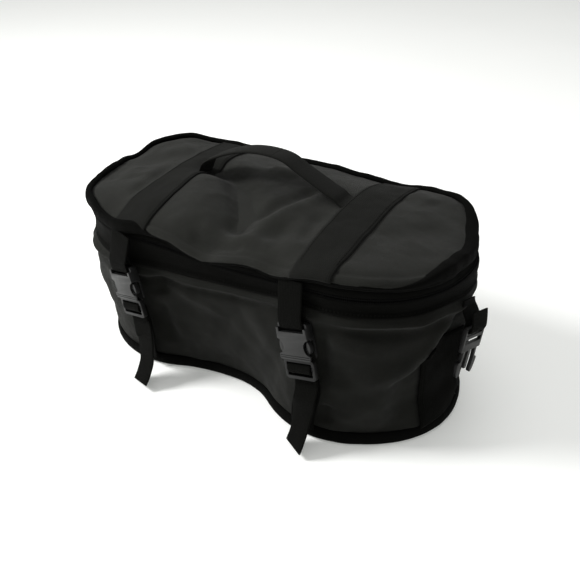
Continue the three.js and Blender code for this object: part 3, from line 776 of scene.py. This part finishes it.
def zip_teeth(name, z, body):
    """One row of coil turns round the whole zip."""
    p = ring(z, COIL_OUT)
    run, whole = arc_length(p)
    normals = outward(p[:, :2])
    verts, faces = [], []
    closed, normals = np.r_[p, p[:1]], np.r_[normals, normals[:1]]
    far = np.r_[run, whole]
    for s in np.arange(0, whole, COIL_PITCH):
        c = at(s, far, closed)
        o = unit(np.array([*at(s, far, normals), 0]))
        side = np.cross([0, 0, 1], o)
        turns = ((-COIL_TALL / 2, 0.55), (-COIL_TALL / 4, 0.85), (COIL_TALL / 4, 0.85), (COIL_TALL / 2, 0.5))
        bead(verts, faces, [
            [c + (o * sin(t) * 0.8 + side * cos(t)) * COIL_R * r + (0, 0, dz) for t in HEX]
            for dz, r in turns
        ])
    done(new_mesh(name, verts, faces, np.array(verts)[:, :2], COIL), body, "tape")


zip_teeth("zip_coil_lower", 141.7, "bag")
zip_teeth("zip_coil_upper", 143.9, "lid")

# ---- lid ----
edge_out, edge_up = edge_wave(*LID_RING.T, np.full(COUNT, 160.0))


def lid_skin(x, y):
    """The lid's top surface."""
    inner_share = smooth((1 - lid_share(x, y)) / 0.1)
    fine = 1.2 * wobble(x, y, 1.0, 30, 5.5) + 0.55 * wobble(x, y, 2.0, 12, 3.5)
    fine = fine + 0.2 * wobble(x, y, 4.0, 6, 9.5)
    return lid_top(x, y) + fine * inner_share


def lid_layer(share, drop, fine=True):
    """The lid's ring at a share of the way to its edge, drop below its top."""
    wave = (edge_out * smooth((share - 0.3) / 0.7))[:, None]
    p = (LID_RING - lid_normals * 1.4) * share + lid_normals * wave
    if fine:
        ripple = (edge_up - edge_rise(*p.T)) * smooth((share - 0.9) / 0.1)
        tucked = -1.2 * smooth((share - 0.965) / 0.035)
        return np.c_[p, lid_skin(*p.T) + ripple + tucked - drop]
    return np.c_[p, lid_top(*p.T, False) - drop]


fine_shares = np.r_[np.linspace(0.03, 0.94, 60), 0.965, 0.985, 1.0]
# The cloth's edge, out and height: at the front it rolls over the binding, elsewhere it dives inside it.
EDGE = (
    ((0.6, 160.4), (-1.3, 160.2)), ((2.4, 159.4), (-1.2, 159.8)), ((4.0, 158.0), (-1.2, 159.4)),
    ((5.0, 156.4), (-1.2, 159.0)), ((5.2, 155.2), (-1.2, 158.6)), ((4.2, 154.6), (-1.3, 158.2)),
    ((2.0, 155.0), (-1.5, 158.0)),
)


def rolled(front, back, lift=0.0):
    """A ring of the cloth's edge, stood off by lift."""
    off, z = turned(front, back)
    return ring(z + lift * 0.4, off + lift)


top = [rolled(*p) for p in EDGE[::-1]] + [lid_layer(s, 0) for s in fine_shares[::-1]]
under = [lid_layer(s, 5.0 * smooth((1 - s) / 0.1) + 2.5, False) for s in fine_shares[::4]]
under[-1] = lid_layer(1.0, 3.5, True)
mid_low = (0, 0, float(lid_top(0.0, 0.0, False)) - 5)
mid_high = (0, 0, float(lid_skin(0.0, 0.0)))
lid_obj = disc("lid_top_panel", under + top, LID_CLOTH, mid_low, mid_high)
done(lid_obj, "lid", "lid_fabric", "lid_panel")
foam_shares = np.linspace(0.1, 0.95, 16)
foam_low = [lid_layer(s, 13.0, False) for s in foam_shares]
foam_high = [lid_layer(s, 9.0, False) for s in foam_shares[::-1]]
foam = disc("lid_lining", foam_low + foam_high, LINING, (0, 0, mid_low[2] - 8), (0, 0, mid_low[2] - 4))
done(foam, "lid", "foam", "lid_foam")


def lid_surface(x, y, lift):
    """Points at that lift over the lid's top."""
    return np.stack([x, y, lid_skin(x, y) + lift], -1)


def rim(points, x):
    """Where the front of a ring crosses the given x."""
    front = points[points[:, 1] < -40]
    front = front[np.argsort(front[:, 0])]
    return at(x, front[:, 0], front)


BAND_EDGE = [rolled(*p, 0.45) for p in EDGE[:5]]
BAND_HALF, BAND_BACK, BAND_T = 19, 88, 1.5


def lid_band(name, x, node):
    """The wide webbing over the lid at x, turned down over the front edge, with its two seams."""
    grid, ups, uv = [], [], []
    for v in np.linspace(-BAND_HALF, BAND_HALF, 18):
        end = rim(BAND_EDGE[0], x + v)[1] + 2.0
        u = np.linspace(BAND_BACK, end, 90)
        col = lid_surface(x + v + 1.2 * np.sin(u / 40 + x) * smooth((u + BAND_BACK) / 20), u, 0.35)
        edge = np.array([rim(r, x + v) for r in BAND_EDGE])
        col = np.r_[col, edge]
        rise = np.tile([0, 0, 1.0], (len(col), 1))
        for k in range(5):
            a = radians(20 + 16 * k)
            rise[len(u) + k] = (0, -sin(a), cos(a))
        run = run_of(col)
        grid.append(col)
        ups.append(rise)
        uv.append(np.stack([np.full(len(col), v), run], -1))
    grid, ups, uv = (np.array(a).transpose(1, 0, 2) for a in (grid, ups, uv))
    done(slab(name, grid, uv, BAND_T, BAND_WEB_LIT, ups), "lid", "webbing", node)
    y = np.linspace(-84, 84, 80)
    edges = [lid_surface(x + side + 1.2 * np.sin(y / 40 + x), y, 1.95) for side in (-16, 16)]
    rows = [(edge, np.tile([0, 0, 1.0], (80, 1))) for edge in edges]
    done(stitches(name + "_seams", rows), "lid", "webbing")


lid_band("lid_band_l", -92, "lid_band_left")
lid_band("lid_band_r", 92, "lid_band_right")

# ---- carry handle ----
# Width and thickness of the webbing, and how far the front buckles stand off the wall.
WEB, WEB_T, STAND_OFF = 25.0, 1.6, 7.4
HANDLE_Y = 10
# x, y past HANDLE_Y, and height: above the ground where it is large, above the lid where it is small.
ARCH = (
    (-92, 0, 0.2), (-87, 0, 0.3), (-82, 0, 1.2), (-75, 0.5, 182), (-58, 2, 192), (-41, 3, 198.5),
    (-24, 3, 202.5), (-6, 3, 203.5), (10, 3, 201.5), (26, 2, 194.5), (42, 1, 187.5), (55, 0, 182),
    (64, 0, 178), (69, 0, 1.6), (75, 0, 0.3), (80, 0, 0.3),
)
arch = [(x, HANDLE_Y + y, z if z > 100 else float(lid_surface(x, HANDLE_Y + y, z)[2])) for x, y, z in ARCH]
line, handle_len = catmull(arch, 170)
u = np.linspace(0, 1, len(line))
tilt = np.radians(-4) * np.sin(np.pi * u)
across = np.stack([np.zeros_like(u), np.cos(tilt), np.sin(tilt)], 1)
half = int(np.argmin(np.abs(line[:, 0])))
HALVES = (
    ("handle_half_l", slice(0, half + 1), -0.094, -0.070, ("carry_handle", "handle_end_left")),
    ("handle_half_r", slice(half, None), 0.074, 0.052, ("handle_end_right",)),
)
for name, part, fixed, free, nodes in HALVES:
    piece = ribbon(name, line[part], across[part], WEB, 2.2, BAND_WEB_LIT, handle_len / 2, cup=-0.5)
    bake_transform(piece)
    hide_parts(*nodes)


# ---- buckles ----
def final_mesh(obj):
    """The object's mesh with its modifiers applied."""
    bpy.context.view_layer.update()
    return bpy.data.meshes.new_from_object(obj.evaluated_get(bpy.context.evaluated_depsgraph_get()))


def apply_all(obj):
    obj.data = final_mesh(obj)
    obj.modifiers.clear()


def turn_by(angle, axis):
    return Matrix.Rotation(radians(angle), 4, axis)


def prism(name, outline2d, thick, mat, holes=()):
    """A flat moulding in the x-z plane."""
    curve = bpy.data.curves.new(name, "CURVE")
    curve.dimensions = "2D"
    curve.fill_mode = "BOTH"
    curve.extrude = thick / 2 * MM
    for loop in (outline2d, *holes):
        spline = curve.splines.new("POLY")
        spline.points.add(len(loop) - 1)
        for p, (x, z) in zip(spline.points, loop):
            p.co = (x * MM, z * MM, 0, 1)
        spline.use_cyclic_u = True
    flat = in_scene(name + "_tmp", curve)
    me = final_mesh(flat)
    bpy.data.objects.remove(flat)
    me.transform(turn_by(90, "X"))
    me.materials.clear()
    me.materials.append(mat)
    obj = in_scene(name, me)
    obj.modifiers.new("weld", "WELD").merge_threshold = 1e-6
    return obj


def round_rect(x0, x1, z0, z1, r, n=5):
    """A rectangle with rounded corners of n steps each."""
    out = []
    corners = ((x1 - r, z0 + r, -90), (x1 - r, z1 - r, 0), (x0 + r, z1 - r, 90), (x0 + r, z0 + r, 180))
    for cx, cz, a0 in corners:
        for k in range(n + 1):
            a = radians(a0 + 90 * k / n)
            out.append((cx + r * cos(a), cz + r * sin(a)))
    return out


def box_cutter(*sides):
    """A box between x0, x1, y0, y1, z0 and z1."""
    low, high = np.array(sides[::2]), np.array(sides[1::2])
    me = bpy.data.meshes.new("cut")
    bm = bmesh.new()
    bmesh.ops.create_cube(bm, size=1)
    for v in bm.verts:
        v.co = Vector((low + high) / 2 + np.array(v.co) * (high - low)) * MM
    bm.to_mesh(me)
    bm.free()
    return in_scene("cut", me)


def carve(obj, cutters, op="DIFFERENCE"):
    """Cuts each cutter out of the object, or adds it, and removes the cutters."""
    for c in cutters:
        m = obj.modifiers.new("cut", "BOOLEAN")
        m.operation = op
        m.solver = "EXACT"
        m.object = c
    apply_all(obj)
    for c in cutters:
        bpy.data.objects.remove(c)
    return obj


def finish_hard(obj, place, bevel=0.45):
    """Bevels the moulding's edges, smooths it and puts it in place."""
    obj.modifiers.new("weld", "WELD").merge_threshold = 2e-6
    edges = obj.modifiers.new("bevel", "BEVEL")
    edges.width = bevel * MM
    edges.segments = 3
    edges.limit_method = "ANGLE"
    edges.angle_limit = radians(40)
    apply_all(obj)
    me = obj.data
    me.polygons.foreach_set("use_smooth", [True] * len(me.polygons))
    me.set_sharp_from_angle(angle=radians(38))
    me.transform(place)
    return obj


def oval_cutter(x, z, rx, rz, y0, y1):
    """An upright-faced oval hole along y."""
    n = 28
    turns = np.linspace(0, 2 * pi, n, endpoint=False)
    oval = [(x + rx * cos(a), z + rz * sin(a)) for a in turns]
    verts = [(p * MM, y * MM, q * MM) for y in (y0, y1) for p, q in oval]
    faces = [(i, (i + 1) % n, n + (i + 1) % n, n + i) for i in range(n)]
    me = bpy.data.meshes.new("cut")
    me.from_pydata(verts, [], faces + [tuple(range(n))[::-1], tuple(range(n, 2 * n))])
    return face_out(in_scene("cut", me))


# Right halves of the flat outlines of a buckle's parts, x and z from the foot of the socket.
SOCKET_HALF = ((15, 0), (16.2, 1.2), (16.5, 4), (16.5, 14), (15.8, 21), (15.6, 27), (15.2, 30.6), (13.6, 32))
ARM = (
    (8.2, 0), (10.8, 0), (11.2, 5.2), (12.2, 6.2), (13.8, 6.6), (14.7, 8.2), (14.9, 11), (14.4, 13.4),
    (12, 15.4), (10, 14.8), (9.4, 12), (9.0, 7),
)
PAD = (
    (13.2, 6.4), (14.4, 5.9), (15.6, 7.2), (16.2, 9.4), (16.3, 11.5), (16.0, 13.8), (15.2, 15.8),
    (14.2, 16.6), (13.2, 15.8), (12.7, 11.5),
)


def mirrored(loop, sign):
    return [(x * sign, z) for x, z in loop]


def socket(label, place):
    """The half of a front buckle that the arms snap into."""
    shape = mirrored(SOCKET_HALF[::-1], -1) + list(SOCKET_HALF)
    obj = prism(f"buckle_socket_{label}", shape, 9.4, PLASTIC)
    boxes = (
        (-13.2, 13.2, -3.1, 3.3, -1, 20), (-15.2, 15.2, 2, 6, -1, 19), (-20, 20, -3.1, 3.3, -1, 17),
        (-13.2, 13.2, -6, 6, 24.4, 28.4), (-20, 20, -6, -1.7, 28, 33), (-13.2, 13.2, 1.7, 6, 28, 33),
    )
    grooves = ((-17, 17, -5.2, -4.2, 1.4, 2.1), (-17, 17, -5.2, -4.2, 3.2, 3.9))
    cuts = [box_cutter(*c) for c in boxes] + [oval_cutter(x, 11.5, 7.0, 7.2, -6, 0) for x in (-17.8, 17.8)]
    cuts += [box_cutter(*c) for c in grooves]
    return finish_hard(carve(obj, cuts), place)


def slot_hole(z0, z1):
    """A webbing slot through a buckle, from z0 to z1."""
    return round_rect(-13.2, 13.2, z0, z1, 0.8)


def ladder(label, place):
    """The ladder-lock frame with its middle tongue."""
    holes = (slot_hole(-7.4, -3.6), slot_hole(-15.8, -10.4))
    shape = round_rect(-16, 16, -18.6, -0.4, 3)
    obj = prism(f"buckle_ladder_{label}", shape, 4, FRAME_PLASTIC, holes)
    return finish_hard(carve(obj, [box_cutter(-2, 2, -1.1, 1.1, -2, 12.5)], "UNION"), place, 0.6)


def arm(label, which, sign, place):
    """One release arm with its thumb pad."""
    obj = prism(f"buckle_arm_{label}_{which}", mirrored(ARM, sign), 2.6, PLASTIC)
    pad = prism("arm_pad", mirrored(PAD, sign), 4.0, PLASTIC)
    pad.data.transform(Matrix.Translation((0, -0.85 * MM, 0)))
    return finish_hard(carve(obj, [pad], "UNION"), place, 0.5)


def beside(place, points):
    """Points of a strap through a buckle, given as y and z from the buckle's own middle."""
    return [np.array(place @ (Vector((0, *p)) * MM)) / MM for p in points]


def mixed(a, b, t):
    """From direction a to direction b as t goes from 0 to 1."""
    t = smooth(t)[:, None]
    return np.asarray(a) * (1 - t) + np.asarray(b) * t


def strap(name, label, points, wides, body, node):
    """Webbing along the points; wides is its width's direction at even steps."""
    path, length = catmull(points, len(wides) - 1)
    piece = ribbon(f"{name}_{label}", path, wides, WEB, WEB_T, WEBBING_SHADED, length)
    done(piece, body, "webbing", f"{node}_{label}")


UPPER_LOOP = ((-3.2, 31), (-2.4, 27.6), (0, 26.6), (2.4, 27.6), (3.2, 31), (2.2, 38), (1.2, 44))
LOWER_LOOP = (
    (5.6, -27), (5.4, -16), (4.9, -9), (2.6, -6.2), (0, -5.6), (-2.4, -6.4), (-3.2, -9.4), (-2.5, -11.9),
    (0, -13.3), (2.4, -14.6), (3.2, -17.4), (2.6, -27),
)


def front_set(label, x, z, top_x, foot_x, facing, lean, roll, ease, tail, tail_across):
    """A front buckle at x and z, turned, tipped and rolled, with its upper and lower strap."""
    y = surface_y(x, z, 0) - STAND_OFF - ease
    turn = turn_by(facing, "Z") @ turn_by(lean, "X")
    place = Matrix.Translation(Vector((x, y, z)) * MM) @ turn @ turn_by(-roll, "Y")
    outer = -1 if label == "left" else 1
    done(socket(label, place), "lid", "buckle_plastic", f"socket_{label}")
    done(ladder(label, place), "bag", "buckle_plastic", f"ladder_frame_{label}")
    for which, sign in (("inner", -outer), ("outer", outer)):
        key = f"{label}_{which}"
        done(arm(label, which, sign, place), f"arm_{key}", "buckle_plastic", f"release_arm_{key}")

    level = np.array([cos(radians(facing)), sin(radians(facing)), 0])
    bar = np.array(place.to_3x3() @ Vector((1, 0, 0)))
    top = np.array([top_x, surface_y(top_x, 152.4, 3), 152.4])
    top[2] += edge_rise(top_x, top[1]) * 0.9 - float(droop(top_x, top[1], 152.0))
    entry, *loop = beside(place, ((-2.9, 37), *UPPER_LOOP))
    high = [top, top * 0.65 + entry * 0.35, top * 0.28 + entry * 0.72, entry, *loop]
    share = np.linspace(0, 1, 131)
    strap("upper_webbing", label, high, mixed(level, bar, share / 0.45), "lid", "strap_upper")

    foot = [(foot_x, surface_y(foot_x, z, 3.6), z) for z in (10.6, 24)]
    share = np.linspace(0, 1, 261)
    to_bar = mixed(level, bar, share / 0.16)
    to_tail = mixed(bar, unit(np.array(tail_across)), (share - 0.62) / 0.3)
    wides = np.where((share < 0.5)[:, None], to_bar, to_tail)
    strap("lower_webbing", label, [*foot, *beside(place, LOWER_LOOP), *tail], wides, "bag", "strap_lower")


front_set(
    "left", -93.7, 81.5, -99.5, -90, -12.4, 0.3, 15, 2.7,
    [(-78.3, -104, 46.4), (-76.3, -106.5, 32.4), (-73.7, -110.5, 22.9), (-73.5, -115, 15.2),
     (-74.2, -118.5, 8.9), (-74.7, -122.3, 4.3)],
    (0.9, -0.36, 0.22),
)
front_set(
    "right", 87.2, 81.8, 73, 91, -9.8, -6.2, 18, 0.8,
    [(96.4, -110.5, 46.3), (95.9, -112, 35), (96, -115, 25), (96.1, -119, 17.5),
     (95.6, -122.8, 11.1), (94.4, -125.4, 4.6)],
    (0.85, -0.46, 0.25),
)


# ---- end walls ----
# The sewn web's angle round the lobe, its half width and its foot and top.
WEB_ANGLE, WEB_HALF, WEB_LOW, WEB_HIGH = -14, 27, 10.6, 89.6


def end_web(label):
    """The wide web sewn to an end wall, with its two seams."""
    span = degrees(WEB_HALF / 92)
    v, u = np.meshgrid(np.linspace(WEB_LOW, WEB_HIGH, 34), np.linspace(-1, 1, 20), indexing="ij")
    centre = lobe_point(label, WEB_ANGLE, 40, -90)

    def on_wall(angle, z):
        puff = float(wall_puff(*lobe_point(label, angle, z, 0)))
        return lobe_point(label, angle, z, 0.5 + puff)

    grid = np.array([[on_wall(WEB_ANGLE + b * span, a) for a, b in zip(ra, rb)] for ra, rb in zip(v, u)])
    out = grid - centre
    obj = slab(f"end_webbing_{label}", grid, np.stack([u * WEB_HALF, v], -1), 1.5, WEBBING_SHADED, out)
    done(obj, "bag", "webbing", f"end_web_{label}")
    rows = [(grid[1:-1, k] + 1.75 * unit(out[1:-1, k]), out[1:-1, k]) for k in (2, -3)]
    done(stitches(f"end_webbing_{label}_seams", rows), "bag", "webbing")


# One arm of the hanging buckle half, x and z from its bar, and the bar's height.
CLIP_ARM = (
    (7.6, -20), (8.6, -26), (9.4, -31), (9.0, -38), (8.6, -42), (9.2, -44.4), (10.8, -45.6),
    (12.4, -44.8), (13.6, -42.4), (14.8, -37), (15.4, -33), (15.0, -31.2), (14.0, -30.6),
    (11.6, -30.2), (11.2, -26), (11, -20),
)
CLIP_Z = 100
TAB_LOOP = ((-3.5, 5), (-3.4, 0), (-2.4, -2.6), (0, -3.6), (2.4, -2.6), (3.4, 0), (2.6, 6), (0.4, 15))


def end_set(label):
    """An end's tab, the buckle half hanging on it, and the web below them."""
    mirror = 1 if label == "right" else -1
    facing = radians(-14)
    side = np.array([-mirror * sin(facing), cos(facing), 0])
    bar = lobe_point(label, -5, CLIP_Z, 12.8)
    angle = atan2(side[1], side[0]) + (pi if label == "right" else 0)
    turn = Matrix.Rotation(angle, 4, "Z") @ turn_by(-14 * mirror, "Y")
    place = Matrix.Translation(Vector(bar) * MM) @ turn
    root = [lobe_point(label, -1.5, CLIP_Z + 20, 3.8), lobe_point(label, -2.3, CLIP_Z + 15, 4.6)]
    level = np.array([-mirror * sin(facing) * 0.2, 1, 0])
    leaning = np.array(place.to_3x3() @ Vector((-mirror, 0, 0)))
    wides = mixed(level, leaning, np.linspace(0, 1, 91) / 0.4)
    strap("end_tab_webbing", label, [*root, *beside(place, TAB_LOOP)], wides, "bag", "end_tab")
    holes = (slot_hole(-6.6, -1.5), slot_hole(-14, -9.6))
    shape = round_rect(-15.5, 15.5, -21, 1.5, 1.4)
    body = prism(f"end_buckle_{label}", shape, 3.2, FRAME_PLASTIC, holes)
    adds = [box_cutter(-2, 2, -1.1, 1.1, -39, -20)]
    adds += [prism("arm_add", mirrored(CLIP_ARM, sign), 3.0, FRAME_PLASTIC) for sign in (-1, 1)]
    clip = finish_hard(carve(body, adds, "UNION"), place, 0.5)
    done(clip, f"clip_{label}", "buckle_plastic", f"end_clip_{label}")
    end_web(label)


end_set("right")
end_set("left")


# ---- zip sliders ----
def slider(name, angle):
    """A zip slider at that angle round the left lobe, with its pull."""
    seat = lobe_point("left", angle, ZIP_Z, 0)
    inner_pt = lobe_point("left", angle, ZIP_Z, -90)
    turn = atan2(seat[1] - inner_pt[1], seat[0] - inner_pt[0])
    place = Matrix.Translation(Vector(seat) * MM) @ Matrix.Rotation(turn, 4, "Z")
    body = box_cutter(2, 4.4, -5.5, 5.5, -4, 4)
    body.name = f"zip_runner_{name}"
    body.data.materials.append(METAL)
    carve(body, [box_cutter(4, 8, -1.6, 1.6, 1, 4)], "UNION")
    carve(body, [box_cutter(4.4, 6.8, -3, 3, 0, 2.8)])
    done(finish_hard(body, place, 0.5), f"slider_{name}", "pull_metal", f"zip_slider_{name}")
    eye = round_rect(-2.4, 2.4, -2.6, 0.4, 0.8)
    pull = prism(f"zip_tab_{name}", round_rect(-4, 4, -26, 2, 2), 1.4, METAL, (eye,))
    pull.data.transform(Matrix.Translation((5.6 * MM, 0, 0)) @ turn_by(90, "Z"))
    done(finish_hard(pull, place, 0.35), f"pull_{name}", "pull_metal", f"zip_pull_{name}")


slider("back", 38)
slider("front", 28)

# ---- fabric hinge across the back ----
u, v = np.meshgrid(np.linspace(-80, 80, 60), np.linspace(131.6, 142.4, 8), indexing="ij")
grid = np.array([[(a, surface_y(a, b, 1.7, 1), b) for a, b in zip(ra, rb)] for ra, rb in zip(u, v)])
strip = slab("back_hinge_cloth", grid, np.stack([u, v], -1), 1.0, TAPE, np.array([0, 1.0, 0]))
done(strip, "bag", "tape", "hinge_strip")


# ---- floor, light ----
def stage():
    """A pale floor, three soft lamps and a white surround."""
    me = bpy.data.meshes.new("floor")
    me.from_pydata([(-6, -6, 0), (6, -6, 0), (6, 6, 0), (-6, 6, 0)], [], [(0, 1, 2, 3)])
    floor = in_scene("floor", me)
    floor.location.z = -0.0002
    g = Graph("floor_white")
    cloud = g.noise(g.new("TexCoord").outputs["Object"], 3, 2)
    g.surface(
        Base_Color=g.ramp(cloud, [(0.3, (0.86, 0.865, 0.85)), (0.7, (0.88, 0.885, 0.87))]),
        Roughness=0.9,
        Emission_Color=(0.97, 1.0, 0.96, 1),
        Emission_Strength=0.2,
    )
    me.materials.append(g.mat)

    aim = Vector((0, 0, 0.07))
    for name, place, size, power in (
        ("key", (-1.0, -0.5, 1.05), 0.5, 24),
        ("fill", (0.9, -1.5, 1.1), 1.6, 2),
        ("top", (-0.1, 0.4, 1.9), 1.6, 12),
    ):
        lamp = bpy.data.lights.new(name, "AREA")
        lamp.shape = "DISK"
        lamp.size = size
        lamp.energy = power
        obj = in_scene(name, lamp)
        obj.location = place
        obj.rotation_euler = (aim - Vector(place)).to_track_quat("-Z", "Y").to_euler()
    world = bpy.data.worlds.new("studio")
    world.use_nodes = True
    surround = world.node_tree.nodes["Background"]
    surround.inputs["Color"].default_value = (1, 1, 0.99, 1)
    surround.inputs["Strength"].default_value = 0.42
    bpy.context.scene.world = world
    bpy.context.scene.view_settings.view_transform = "Standard"


stage()
